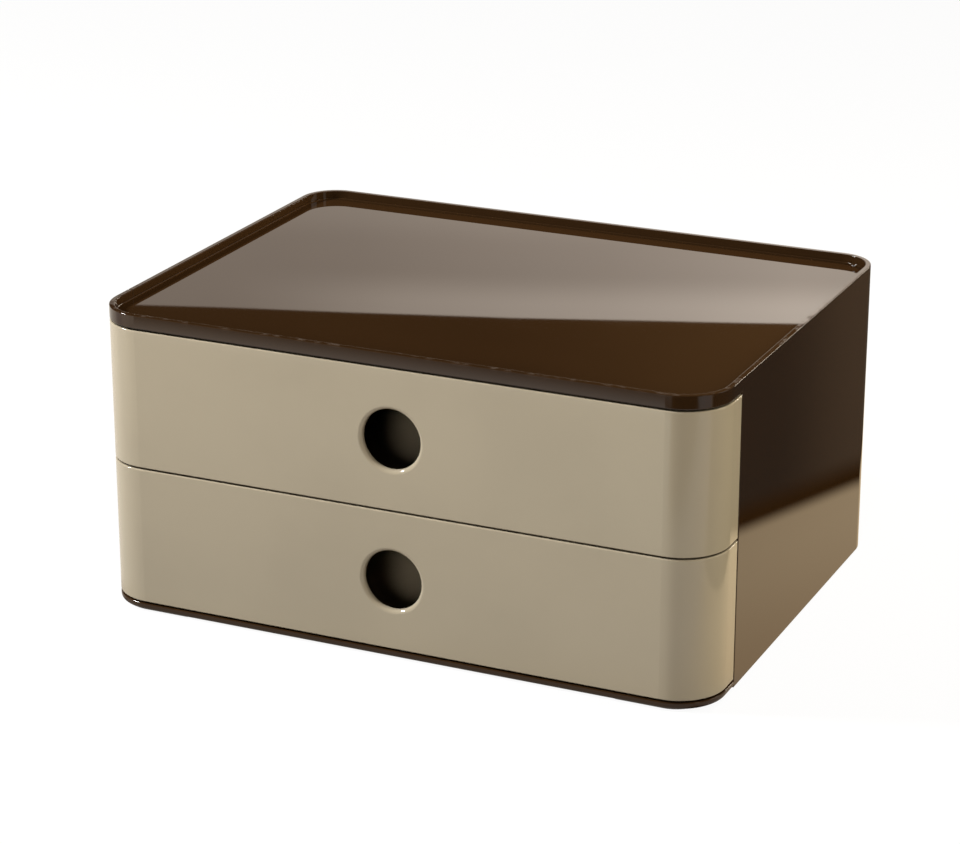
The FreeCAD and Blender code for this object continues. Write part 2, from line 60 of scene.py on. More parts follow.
def colour_property(name, description, default):
    return FloatVectorProperty(name=name, description=description, default=default,
                               subtype="COLOR", size=3, min=0.0, max=1.0)


def length_property(name, description, default):
    return FloatProperty(name=name, description=description, default=default,
                         unit="LENGTH", subtype="DISTANCE", min=0.0)


def share_property(name, description, default):
    return FloatProperty(name=name, description=description, default=default,
                         subtype="FACTOR", min=0.0, max=1.0)


def light_property(name, description, default):
    """How brightly a lamp lights a white card that faces it at the box; 1 shows the card white."""
    return FloatProperty(name=name, description=description, default=default, min=0.0)


class CasingFinish(PropertyGroup):
    """Gloss dark plastic of the casing, top panel and base plate."""
    colour: colour_property("Colour", "Colour of the dark plastic", (0.030, 0.0140, 0.0048))
    roughness: share_property("Roughness", "Roughness of the polished skin", 0.008)
    wave_length: length_property("Wave length", "Distance between the moulding's soft waves", 0.06)
    wave_height: length_property("Wave height", "Height of the moulding's soft waves", 0.000006)


class FrontFinish(PropertyGroup):
    """Gloss beige plastic of the drawer fronts."""
    colour: colour_property("Colour", "Colour of the beige plastic", (0.385, 0.333, 0.243))
    roughness: share_property("Roughness", "Roughness of the polished skin", 0.04)
    wave_length: length_property("Wave length", "Distance between the moulding's soft waves", 0.05)
    wave_height: length_property("Wave height", "Height of the moulding's soft waves", 0.000003)


class TrayFinish(PropertyGroup):
    """Beige plastic of the drawer trays, a lighter beige than the fronts' that paints light into the
    finger holes.
    """
    # painted light: lighter than the fronts' beige, to brighten what the finger holes show
    colour: colour_property("Colour", "Colour of the tray plastic", (0.47, 0.39, 0.272))
    roughness: share_property("Roughness", "Roughness of the tray's skin", 0.29)


class FrameFinish(PropertyGroup):
    """Textured dark plastic of the inner side frames."""
    colour: colour_property("Colour", "Colour of the frame plastic", (0.026, 0.014, 0.008))
    roughness: share_property("Roughness", "Roughness of the textured skin", 0.5)
    grain: length_property("Grain", "Size of the moulded grain", 0.0006)


class FootFinish(PropertyGroup):
    """Dark rubber of the feet."""
    colour: colour_property("Colour", "Colour of the rubber", (0.02, 0.017, 0.015))
    roughness: share_property("Roughness", "Roughness of the rubber", 0.75)


class ScrewFinish(PropertyGroup):
    """Zinc-plated steel of the screws."""
    colour: colour_property("Colour", "Colour of the plating", (0.6, 0.6, 0.58))
    roughness: share_property("Roughness", "Roughness of the plating", 0.36)


class StudioSetup(PropertyGroup):
    """Camera, floor and lights around the box."""
    camera_place: FloatVectorProperty(name="Camera", description="Where the camera stands",
                                      default=(0.4757, -1.0598, 0.4893),
                                      subtype="TRANSLATION", unit="LENGTH")
    camera_yaw: FloatProperty(name="Yaw", description="Camera turned to the left of the back",
                              default=math.radians(24.491), subtype="ANGLE", unit="ROTATION")
    camera_pitch: FloatProperty(name="Pitch", description="Camera tilted down",
                                default=math.radians(20.048), subtype="ANGLE", unit="ROTATION")
    camera_lens: FloatProperty(name="Lens", description="Focal length in millimetres",
                               default=113.6, min=10.0)
    key_light: light_property("Key light", "Light of the lamp on the left", 1.42)
    fill_light: light_property("Fill light", "Light of the low lamp in front", 0.44)
    side_light: light_property("Side light", "Light of the large lamp on the right", 0.60)
    edge_light: light_property("Edge light", "Light of the lamp behind on the right", 0.10)
    rear_light: light_property("Rear light", "Light of the small lamp close behind", 0.60)
    sweep_colour: colour_property("Sweep", "Colour of the bright sweep behind the box",
                                  (1.0, 0.89, 0.77))
    floor_colour: colour_property("Floor", "Colour of the floor", (0.21, 0.195, 0.17))


SETTINGS = {
    "casing": CasingFinish, "front": FrontFinish, "tray": TrayFinish, "side_frame": FrameFinish,
    "foot": FootFinish, "screw": ScrewFinish, "studio": StudioSetup,
}


class FileBoxSettings(PropertyGroup):
    """All the settings of the file box."""
    casing: PointerProperty(type=CasingFinish)
    front: PointerProperty(type=FrontFinish)
    tray: PointerProperty(type=TrayFinish)
    side_frame: PointerProperty(type=FrameFinish)
    foot: PointerProperty(type=FootFinish)
    screw: PointerProperty(type=ScrewFinish)
    studio: PointerProperty(type=StudioSetup)


# --- procedural materials ---

class Nodes:
    """A node tree that is built one step at a time."""

    def __init__(self, tree, place):
        self.tree = tree
        self.place = self.add("ShaderNodeTexCoord").outputs[place]
        self.axes = self.add("ShaderNodeSeparateXYZ", {0: self.place}).outputs

    def add(self, kind, inputs=None, **settings):
        node = self.tree.nodes.new(kind)
        for name, value in settings.items():
            setattr(node, name, value)
        for key, value in (inputs or {}).items():
            if isinstance(value, bpy.types.NodeSocket):
                self.tree.links.new(value, node.inputs[key])
            else:
                node.inputs[key].default_value = value
        return node

    def math(self, operation, first, second=0.0):
        return self.add("ShaderNodeMath", {0: first, 1: second}, operation=operation).outputs[0]

    def product(self, first, second):
        return self.math("MULTIPLY", first, second)

    def total(self, first, second):
        return self.math("ADD", first, second)

    def less(self, first, second):
        return self.math("SUBTRACT", first, second)

    def span(self, value, low, high, to_low, to_high, kind="SMOOTHSTEP"):
        """A value carried from one span to another, held at both ends."""
        node = self.add("ShaderNodeMapRange", {0: value, 1: low, 2: high, 3: to_low, 4: to_high},
                        interpolation_type=kind)
        return node.outputs[0]

    def rise(self, value, low, high):
        """0 below one value, 1 above another."""
        return self.span(value, low, high, 0.0, 1.0)

    def fall(self, value, low, high):
        """1 below one value, 0 above another."""
        return self.span(value, low, high, 1.0, 0.0)

    def stairs(self, value, stops):
        """A value carried through a list of (from, to) stops with straight runs between them."""
        low, high = stops[0][0], stops[-1][0]
        top = max(to for _, to in stops)
        node = self.add("ShaderNodeValToRGB", {0: self.span(value, low, high, 0.0, 1.0, "LINEAR")})
        ramp = node.color_ramp
        while len(ramp.elements) < len(stops):
            ramp.elements.new(0.5)
        for element, (place, to) in zip(ramp.elements, stops):
            element.position = (place - low) / (high - low)
            element.color = (to / top, to / top, to / top, 1.0)
        return self.product(node.outputs[0], top)

    def window(self, value, low, high, soft):
        """1 between two values, 0 outside them."""
        return self.product(self.rise(value, low - soft, low + soft),
                            self.fall(value, high - soft, high + soft))

    def blend(self, share, first, second):
        """Two colours mixed by a share."""
        node = self.add("ShaderNodeMix", {"Factor": share}, data_type="RGBA")
        for socket, colour in ((node.inputs[6], first), (node.inputs[7], second)):
            if isinstance(colour, bpy.types.NodeSocket):
                self.tree.links.new(colour, socket)
            else:
                socket.default_value = (*colour, 1.0)
        return node.outputs[2]

    def times(self, colour, factor):
        node = self.add("ShaderNodeVectorMath", {0: colour, "Scale": factor}, operation="SCALE")
        return node.outputs[0]

    def plus(self, first, second):
        return self.add("ShaderNodeVectorMath", {0: first, 1: second}, operation="ADD").outputs[0]


NOISE_SPAN = (0.3, 0.7)                # where nearly all the values of a noise lie
JOINT_SPAN = (0.15, 0.55)              # openness of a narrow joint and of an open face
JOINT_SAMPLES = 8
JOINT_SHADE = (0.012, 0.007, 0.003)    # painted shade in a narrow joint, with the dust that settles there
PLASTIC_IOR = 1.5


def tint(colour, factor):
    return tuple(min(channel * factor, 1.0) for channel in colour)


class Recipe(Nodes):
    """A procedural surface material."""

    def __init__(self, name):
        self.material = bpy.data.materials.new(name)
        self.material.use_nodes = True
        super().__init__(self.material.node_tree, "Object")
        self.skin = self.tree.nodes["Principled BSDF"]

    def noise(self, length, detail=2.0, roughness=0.5):
        """Smooth noise whose features are about one length apart."""
        node = self.add("ShaderNodeTexNoise", {"Vector": self.place, "Scale": 1.0 / length,
                                               "Detail": detail, "Roughness": roughness})
        return node.outputs["Fac"]

    def drift(self, colour, length, darkest, lightest):
        """A moulded colour that drifts between two tints of itself over a length."""
        share = self.rise(self.noise(length, detail=3.0), *NOISE_SPAN)
        return self.blend(share, tint(colour, darkest), tint(colour, lightest))

    def uneven_roughness(self, grain, finish, smoother, rougher):
        """A roughness that varies with a noise, about the finish's own."""
        low, high = finish.roughness - smoother, finish.roughness + rougher
        self.connect("Roughness", self.span(grain, *NOISE_SPAN, low, high))

    def bump(self, height, depth, normal=None):
        inputs = {"Height": height, "Distance": depth, "Strength": 1.0}
        if normal is not None:
            inputs["Normal"] = normal
        return self.add("ShaderNodeBump", inputs).outputs["Normal"]

    def shaded_joint(self, depth):
        """Share of painted shade: 1 deep in a narrow joint between pieces, 0 on open faces."""
        node = self.add("ShaderNodeAmbientOcclusion", {"Distance": depth}, samples=JOINT_SAMPLES)
        return self.fall(node.outputs["AO"], *JOINT_SPAN)

    def edge_band(self, node, width):
        """1 on a node's top and bottom edges, 0 further than a width from them."""
        low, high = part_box(node)
        below = self.less(high.z, self.axes["Z"])
        above = self.less(self.axes["Z"], low.z)
        return self.fall(self.math("MINIMUM", below, above), 0.0, width)

    def glow(self, colour):
        """Light of one colour, at strength 1."""
        return self.add("ShaderNodeEmission", {"Color": colour, "Strength": 1.0}).outputs[0]

    def mix_shaders(self, share, first, second):
        return self.add("ShaderNodeMixShader", {0: share, 1: first, 2: second}).outputs[0]

    def connect(self, socket, value):
        self.tree.links.new(value, self.skin.inputs[socket])


# Polished plastic; lengths and depths are in metres.
GLOSS_DRIFT_LENGTH = 0.06
GLOSS_TINTS = (0.97, 1.03)
GLOSS_EDGE_WIDTH = 0.0012
GLOSS_SPECKLE_LENGTH = 0.004           # worn specks along the edges, which also paint thin highlight lines there
GLOSS_SPECKLE_SPAN = (0.45, 0.7)
GLOSS_WEAR_AND_HIGHLIGHT_SHARE = 0.25
GLOSS_WEAR_AND_HIGHLIGHT_TINT = 1.6
GLOSS_WORN_ROUGHNESS = 0.12
GLOSS_JOINT_DEPTH = 0.002
GLOSS_JOINT_SHARE = 0.85
GLOSS_SMEAR_LENGTH = 0.03
GLOSS_SMEAR_SPAN = (0.45, 0.75)
GLOSS_SMEAR_ROUGHNESS = 0.006
GLOSS_PEEL_LENGTH = 0.0015
GLOSS_PEEL_DEPTH = 0.0000001


def gloss_plastic(name, finish, node):
    """Polished moulded plastic: soft waves, fine orange peel, faint smears, worn edges that also paint
    thin highlight lines, and painted shade in narrow joints.
    """
    recipe = Recipe(name)
    recipe.skin.inputs["IOR"].default_value = PLASTIC_IOR
    base = recipe.drift(finish.colour, GLOSS_DRIFT_LENGTH, *GLOSS_TINTS)
    speckle = recipe.rise(recipe.noise(GLOSS_SPECKLE_LENGTH, detail=4.0), *GLOSS_SPECKLE_SPAN)
    # lighter specks along the top and bottom edges: partly wear, partly a painted highlight for the
    # edges' thin highlight lines
    worn_and_highlit = recipe.product(recipe.edge_band(node, GLOSS_EDGE_WIDTH), speckle)
    base = recipe.blend(recipe.product(worn_and_highlit, GLOSS_WEAR_AND_HIGHLIGHT_SHARE), base,
                        tint(finish.colour, GLOSS_WEAR_AND_HIGHLIGHT_TINT))
    # painted shade: the colour darkens towards JOINT_SHADE deep in narrow joints
    joint = recipe.product(recipe.shaded_joint(GLOSS_JOINT_DEPTH), GLOSS_JOINT_SHARE)
    recipe.connect("Base Color", recipe.blend(joint, base, JOINT_SHADE))
    smear = recipe.span(recipe.noise(GLOSS_SMEAR_LENGTH, detail=5.0, roughness=0.6),
                        *GLOSS_SMEAR_SPAN, 0.0, GLOSS_SMEAR_ROUGHNESS)
    smeared = recipe.total(smear, finish.roughness)
    recipe.connect("Roughness", recipe.total(smeared, recipe.product(worn_and_highlit, GLOSS_WORN_ROUGHNESS)))
    waves = recipe.bump(recipe.noise(finish.wave_length, detail=0.0), finish.wave_height)
    peel = recipe.bump(recipe.noise(GLOSS_PEEL_LENGTH, detail=1.0), GLOSS_PEEL_DEPTH, waves)
    recipe.connect("Normal", peel)
    return recipe.material


# Tray plastic; lengths and depths are in metres.
TRAY_DRIFT_LENGTH = 0.05
TRAY_TINTS = (0.96, 1.03)
TRAY_EDGE_WIDTH = 0.0015
TRAY_WORN_SHARE = 0.2
TRAY_WORN_TINT = 1.25
TRAY_SCUFF_LENGTH = 0.012
TRAY_SCUFF_SPAN = (0.3, 0.8)
TRAY_SCUFF_ROUGHNESS = 0.04
TRAY_WAVE_LENGTH = 0.03
TRAY_WAVE_DEPTH = 0.00001
TRAY_PEEL_LENGTH = 0.0012
TRAY_PEEL_DEPTH = 0.000001


def tray_plastic(name, finish, node):
    """Moulded plastic of the trays, a little softer in gloss than the fronts."""
    recipe = Recipe(name)
    recipe.skin.inputs["IOR"].default_value = PLASTIC_IOR
    base = recipe.drift(finish.colour, TRAY_DRIFT_LENGTH, *TRAY_TINTS)
    wear = recipe.product(recipe.edge_band(node, TRAY_EDGE_WIDTH), TRAY_WORN_SHARE)
    recipe.connect("Base Color", recipe.blend(wear, base, tint(finish.colour, TRAY_WORN_TINT)))
    scuffs = recipe.span(recipe.noise(TRAY_SCUFF_LENGTH, detail=6.0, roughness=0.65),
                         *TRAY_SCUFF_SPAN, 0.0, TRAY_SCUFF_ROUGHNESS)
    recipe.connect("Roughness", recipe.total(scuffs, finish.roughness))
    waves = recipe.bump(recipe.noise(TRAY_WAVE_LENGTH, detail=0.0), TRAY_WAVE_DEPTH)
    peel = recipe.bump(recipe.noise(TRAY_PEEL_LENGTH, detail=1.0), TRAY_PEEL_DEPTH, waves)
    recipe.connect("Normal", peel)
    return recipe.material


# Plastic of the side frames; lengths and depths are in metres.
FRAME_DRIFT_LENGTH = 0.03
FRAME_TINTS = (0.85, 1.15)
FRAME_EDGE_WIDTH = 0.001
FRAME_WORN_SHARE = 0.3
FRAME_WORN_TINT = 2.0
FRAME_GRAIN_DEPTH = 0.00002


def grained_plastic(name, finish, node):
    """Spark-textured dark plastic."""
    recipe = Recipe(name)
    dark, light = (tint(finish.colour, factor) for factor in FRAME_TINTS)
    base = recipe.blend(recipe.noise(FRAME_DRIFT_LENGTH, detail=3.0), dark, light)
    wear = recipe.product(recipe.edge_band(node, FRAME_EDGE_WIDTH), FRAME_WORN_SHARE)
    recipe.connect("Base Color", recipe.blend(wear, base, tint(finish.colour, FRAME_WORN_TINT)))
    grain = recipe.noise(finish.grain, detail=3.0, roughness=0.6)
    recipe.uneven_roughness(grain, finish, smoother=0.05, rougher=0.08)
    recipe.connect("Normal", recipe.bump(grain, FRAME_GRAIN_DEPTH))
    return recipe.material


# Rubber of the feet; lengths and depths are in metres.
RUBBER_DRIFT_LENGTH = 0.006
RUBBER_TINTS = (0.8, 1.3)
RUBBER_GRAIN_LENGTH = 0.0005
RUBBER_GRAIN_DEPTH = 0.00003


def foot_rubber(name, finish, node):
    """Matte rubber with a fine moulded skin."""
    recipe = Recipe(name)
    dark, light = (tint(finish.colour, factor) for factor in RUBBER_TINTS)
    recipe.connect("Base Color",
                   recipe.blend(recipe.noise(RUBBER_DRIFT_LENGTH, detail=4.0), dark, light))
    grain = recipe.noise(RUBBER_GRAIN_LENGTH, detail=3.0)
    recipe.uneven_roughness(grain, finish, smoother=0.08, rougher=0.10)
    recipe.connect("Normal", recipe.bump(grain, RUBBER_GRAIN_DEPTH))
    return recipe.material


# Plating of the screws; lengths and depths are in metres.
PLATING_DRIFT_LENGTH = 0.002
PLATING_TINTS = (0.85, 1.1)
PLATING_MARK_LENGTH = 0.0003
PLATING_MARK_DEPTH = 0.000004


def plated_steel(name, finish, node):
    """Bright zinc plating with fine marks."""
    recipe = Recipe(name)
    recipe.skin.inputs["Metallic"].default_value = 1.0
    dark, light = (tint(finish.colour, factor) for factor in PLATING_TINTS)
    drift = recipe.noise(PLATING_DRIFT_LENGTH, detail=3.0)
    recipe.connect("Base Color", recipe.blend(drift, dark, light))
    recipe.uneven_roughness(drift, finish, smoother=0.06, rougher=0.10)
    marks = recipe.noise(PLATING_MARK_LENGTH, detail=1.0)
    recipe.connect("Normal", recipe.bump(marks, PLATING_MARK_DEPTH))
    return recipe.material


def dress(nodes, make, finish):
    """Gives each node its own material from one recipe."""
    for node in nodes:
        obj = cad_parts[node]
        obj.data.materials.clear()
        obj.data.materials.append(make(node + "_finish", finish, node))
        for face in obj.data.polygons:
            face.material_index = 0


# --- studio ---

WHITE = (1.0, 1.0, 1.0)
BOX_MIDDLE = Vector((0.0, 0.0, 0.06))

FLOOR_HALF = 3.0
FLOOR_ROUGHNESS = 0.9
FLOOR_SHADE_AWAY = (0.02, 0.16)        # painted shade: the floor's colour darkens towards the box over this distance
FLOOR_SHADE = 0.25                     # how much of its colour the painted shade leaves there
BACKDROP_SHARE = 0.93                  # how much of the floor the camera sees as plain white

CAMERA_SENSOR = 36.0                   # millimetres
CAMERA_NEAR = 0.05                     # metres

# The floor as the gloss shows it: pale in front, warm beside the box, with a dark strip beyond and
# painted shade close to the box.
LEFT_GLOW = (0.95, 0.88, 0.78)
FRONT_GLOW = (0.83, 0.81, 0.76)
MIDDLE_GLOW = (0.60, 0.66, 0.66)
DARK_GLOW = (0.02, 0.018, 0.015)
BESIDE_GLOW = (0.76, 0.54, 0.32)
PATCH_GLOW = (1.0, 0.76, 0.47)
STRIP_GLOW = (0.0, 0.02, 0.028)
STRIP_FAR_GLOW = (0.105, 0.085, 0.064)
NEAR_GLOW = (0.54, 0.53, 0.54)
# painted shade of the floor's glow at the foot of the front, and under the box
FOOT_SHADE_GLOW = (0.50, 0.44, 0.38)
UNDER_SHADE_GLOW = (0.08, 0.07, 0.06)

# Where one glow gives way to the next, in metres along the width of the floor.
LEFT_TO_FRONT = (-0.30, -0.10)
FRONT_TO_MIDDLE = (-0.08, 0.04)
MIDDLE_TO_DARK = (0.06, 0.10)
LEFT_TO_BESIDE = (-0.20, 0.12)
SPOT_LEFT = (0.38, 0.41)               # a paler spot on the right of the front
SPOT_RIGHT = (0.47, 0.50)
SPOT_SHARE = 0.7

# The same along its depth.
DARK_TO_PLAIN = (-0.34, -0.20)
FRONT_TO_NEAR = (-0.32, -0.18)
NEAR_TO_BACK = (-0.16, -0.06)
STRIP_BEGINS = (-0.14, -0.10)
FRONT_FADE = ((-0.52, 1.0), (-0.428, 0.3), (-0.405, 1.45), (-0.395, 1.0))    # depth and factor

# The slanting line where the warm patch ends and the dark strip begins: a point on it and its
# slope, and how each side of it fades with the distance past it.
PATCH_LINE_X, PATCH_LINE_Y = 0.155, 0.163
PATCH_LINE_SLOPE = 0.38
PATCH_FADE = (-0.12, -0.02)
STRIP_FADE = (-0.0105, 0.0035)
STRIP_GROWTH = (0.002, 0.026)

# The strip turns from its near glow to its far one across a steeper line.
STRIP_TURN_X = 0.166
STRIP_TURN_SLOPE = 3.0
STRIP_TURN = (0.07, 0.21)

# The floor along the foot of the front, and under the box, where its glow is darkened into a painted
# shade.
FOOT_AWAY = (0.002, 0.020)
FOOT_BEHIND_FRONT = (0.01, 0.05)
UNDER_AWAY = (-0.006, 0.0)

# The sweep's edge: a straight line, seen from the box, with a slight bend at one end.
SWEEP_SLOPE = 0.3259
SWEEP_TURN = math.radians(21.0)
SWEEP_SOFT = 0.0004
SWEEP_BEND, SWEEP_BEND_FROM, SWEEP_BEND_MOST = 0.018, 0.05, 0.001

# The sweep's light changes with the turn: 1 towards this heading and -1 away from it. It is
# brighter just under the edge, and a little brighter again further down.
SWEEP_TOWARDS = math.radians(60.0)
SWEEP_STOPS = ((-1.0, 0.25), (-0.6, 0.3), (-0.1, 0.66), (0.03, 0.70), (0.055, 0.74), (0.096, 0.87),
               (0.138, 1.0), (0.165, 1.15), (0.206, 1.45), (0.28, 1.4), (0.5, 0.7), (1.0, 0.45))
FRINGE_UNDER_EDGE = (-0.016, -0.004)
FRINGE_TURN = (0.0, 0.075)
FRINGE_GAIN = 0.45
LOW_UNDER_EDGE = (-0.036, -0.024)
LOW_GAIN = 0.15

# The dim room above the sweep.
CEILING_GLOW = (0.125, 0.065, 0.024)
CEILING_TURN = (0.09, 0.22)
ROOM_GLOW = (0.05, 0.045, 0.04)
ROOM_AHEAD = (0.0, 0.4)
ROOM_LEAST = 0.1

# Soft panels around the room, the first one low: glow, heading from and to, height from and to,
# in degrees.
PANELS = (
    ((18.0, 15.8, 12.8), 15, 32, -2, 4),
    ((1.5, 1.42, 1.3), 50, 78, 5, 36),
    ((1.6, 1.5, 1.3), 108, 118, 10, 34),
)
PANEL_SOFT = math.radians(0.5)
LEVEL_LEAST = 0.001                    # keeps the turn finite straight up and down

# Each lamp: its name, place, size, colour and whether the gloss mirrors it.
LAMPS = (
    ("key", (-1.238, -0.475, 0.954), 0.25, (1.0, 1.0, 1.0), True),
    ("fill", (0.429, -1.496, 0.434), 0.20, (1.0, 0.97, 0.92), False),
    ("side", (1.065, 0.566, 0.50), 0.80, (1.0, 0.94, 0.72), False),
    ("edge", (0.62, 0.85, 0.30), 0.30, (1.0, 0.93, 0.85), False),
    ("rear", (0.16, 0.34, 0.42), 0.08, (1.0, 0.90, 0.80), False),
)


def away_from_box(tree):
    """How far a place on the floor is from the box, along the nearer of the two axes."""
    x, y = tree.axes["X"], tree.axes["Y"]
    (left, front_edge, _), (right, back_edge, _) = cad_box
    beside = tree.math("MAXIMUM", tree.less(left, x), tree.less(x, right))
    ahead = tree.math("MAXIMUM", tree.less(front_edge, y), tree.less(y, back_edge))
    return tree.math("MAXIMUM", beside, ahead)


def front_glow(tree):
    """The floor's light in front of the box."""
    x, y = tree.axes["X"], tree.axes["Y"]
    front = tree.blend(tree.rise(x, *LEFT_TO_FRONT), LEFT_GLOW, FRONT_GLOW)
    front = tree.blend(tree.rise(x, *FRONT_TO_MIDDLE), front, MIDDLE_GLOW)
    front = tree.times(front, tree.stairs(y, FRONT_FADE))
    dark = tree.product(tree.fall(y, *DARK_TO_PLAIN), tree.rise(x, *MIDDLE_TO_DARK))
    front = tree.blend(dark, front, DARK_GLOW)
    spot = tree.product(tree.rise(x, *SPOT_LEFT), tree.fall(x, *SPOT_RIGHT))
    front = tree.blend(tree.product(spot, SPOT_SHARE), front, MIDDLE_GLOW)
    return tree.blend(tree.rise(y, *FRONT_TO_NEAR), front, NEAR_GLOW)


def side_glow(tree, plain):
    """The warm patch and the dark strip on the right, laid over the plain floor's light."""
    x, y = tree.axes["X"], tree.axes["Y"]
    line = tree.less(PATCH_LINE_X, tree.product(PATCH_LINE_SLOPE, tree.less(y, PATCH_LINE_Y)))
    past = tree.less(x, line)
    patch = tree.product(tree.rise(past, *PATCH_FADE), tree.rise(y, *NEAR_TO_BACK))
    near = tree.blend(patch, plain, PATCH_GLOW)
    turn = tree.less(y, tree.product(STRIP_TURN_SLOPE, tree.less(x, STRIP_TURN_X)))
    strip = tree.blend(tree.rise(turn, *STRIP_TURN), STRIP_GLOW, STRIP_FAR_GLOW)
    strip = tree.times(strip, tree.rise(past, *STRIP_GROWTH))
    inside = tree.product(tree.rise(past, *STRIP_FADE), tree.rise(y, *STRIP_BEGINS))
    return tree.blend(inside, near, strip)


def floor_gloss(tree):
    """The floor's light as the gloss of the box shows it, with painted shade at the foot of the front
    and under the box.
    """
    x, y = tree.axes["X"], tree.axes["Y"]
    back = tree.blend(tree.rise(x, *LEFT_TO_BESIDE), LEFT_GLOW, BESIDE_GLOW)
    plain = tree.blend(tree.rise(y, *NEAR_TO_BACK), front_glow(tree), back)
    glow = side_glow(tree, plain)
    away = away_from_box(tree)
    front_edge = cad_box[0][1]
    by_front = tree.fall(y, *(front_edge + step for step in FOOT_BEHIND_FRONT))
    # painted shade: the glow darkens at the foot of the front and under the box
    glow = tree.blend(tree.product(tree.fall(away, *FOOT_AWAY), by_front), glow, FOOT_SHADE_GLOW)
    return tree.blend(tree.fall(away, *UNDER_AWAY), glow, UNDER_SHADE_GLOW)


def make_floor(studio):
    """A pale floor: white to the camera, dim to the box, and painted to the gloss."""
    mesh = bpy.data.meshes.new("floor")
    half = FLOOR_HALF
    corners = [(-half, -half, 0), (half, -half, 0), (half, half, 0), (-half, half, 0)]
    mesh.from_pydata(corners, [], [(0, 1, 2, 3)])
    floor = bpy.data.objects.new("floor", mesh)
    bpy.context.scene.collection.objects.link(floor)
    recipe = Recipe("pale_floor")
    # painted shade on the floor next to the box
    near = recipe.fall(away_from_box(recipe), *FLOOR_SHADE_AWAY)
    colour = recipe.blend(near, studio.floor_colour, tint(studio.floor_colour, FLOOR_SHADE))
    recipe.connect("Base Color", colour)
    recipe.skin.inputs["Roughness"].default_value = FLOOR_ROUGHNESS
    recipe.skin.inputs["Specular IOR Level"].default_value = 0.0
    gloss = recipe.glow(floor_gloss(recipe))
    lit = recipe.add("ShaderNodeBsdfDiffuse", {"Color": (*WHITE, 1.0)}).outputs[0]
    shown = recipe.mix_shaders(BACKDROP_SHARE, lit, recipe.glow((*WHITE, 1.0)))
    path = recipe.add("ShaderNodeLightPath").outputs
    mirrored = recipe.math("MAXIMUM", path["Is Glossy Ray"], path["Is Transmission Ray"])
    unseen = recipe.mix_shaders(mirrored, recipe.skin.outputs[0], gloss)
    whole = recipe.mix_shaders(path["Is Camera Ray"], unseen, shown)
    recipe.tree.links.new(whole, recipe.tree.nodes["Material Output"].inputs["Surface"])
    mesh.materials.append(recipe.material)


def make_camera(studio):
    """The camera, turned and tilted from its place."""
    data = bpy.data.cameras.new("camera")
    data.lens = studio.camera_lens
    data.sensor_width = CAMERA_SENSOR
    data.clip_start = CAMERA_NEAR
    camera = bpy.data.objects.new("camera", data)
    turn = Matrix.Rotation(studio.camera_yaw, 4, "Z")
    tilt = Matrix.Rotation(math.pi / 2 - studio.camera_pitch, 4, "X")
    camera.matrix_world = Matrix.Translation(studio.camera_place) @ turn @ tilt
    bpy.context.scene.collection.objects.link(camera)
    bpy.context.scene.camera = camera


def make_lamp(name, place, size, light, colour, mirrored):
    """A square soft lamp that looks at the middle of the box, and shows in its gloss or not."""
    data = bpy.data.lights.new(name, "AREA")
    data.shape = "SQUARE"
    data.size = size
    away = Vector(place) - BOX_MIDDLE
    data.energy = light * (math.pi * away.length) ** 2
    data.color = colour
    lamp = bpy.data.objects.new(name, data)
    lamp.location = place
    lamp.rotation_euler = away.to_track_quat("Z", "Y").to_euler()
    lamp.visible_camera = False
    lamp.visible_glossy = mirrored
    bpy.context.scene.collection.objects.link(lamp)


def make_lamps(studio):
    """The lamps, each as bright as its own setting says."""
    for name, place, size, colour, mirrored in LAMPS:
        make_lamp(name + "_lamp", place, size, getattr(studio, name + "_light"), colour, mirrored)


def sweep_turn(tree):
    """How far a direction turns towards the sweep's heading: 1 towards it, -1 away from it."""
    x, y = tree.axes["X"], tree.axes["Y"]
    level = tree.math("SQRT", tree.total(tree.product(x, x), tree.product(y, y)))
    towards = tree.total(tree.product(x, math.sin(SWEEP_TOWARDS)),
                         tree.product(y, math.cos(SWEEP_TOWARDS)))
    return tree.math("DIVIDE", towards, tree.math("MAXIMUM", level, LEVEL_LEAST))


def over_sweep(tree, turn):
    """How far a direction lies above the sweep's edge."""
    x, y, z = tree.axes["X"], tree.axes["Y"], tree.axes["Z"]
    edge = tree.less(tree.product(y, SWEEP_SLOPE * math.cos(SWEEP_TURN)),
                     tree.product(x, SWEEP_SLOPE * math.sin(SWEEP_TURN)))
    bend = tree.math("MINIMUM", tree.product(SWEEP_BEND, tree.less(turn, SWEEP_BEND_FROM)),
                     SWEEP_BEND_MOST)
    return tree.less(tree.less(z, edge), bend)


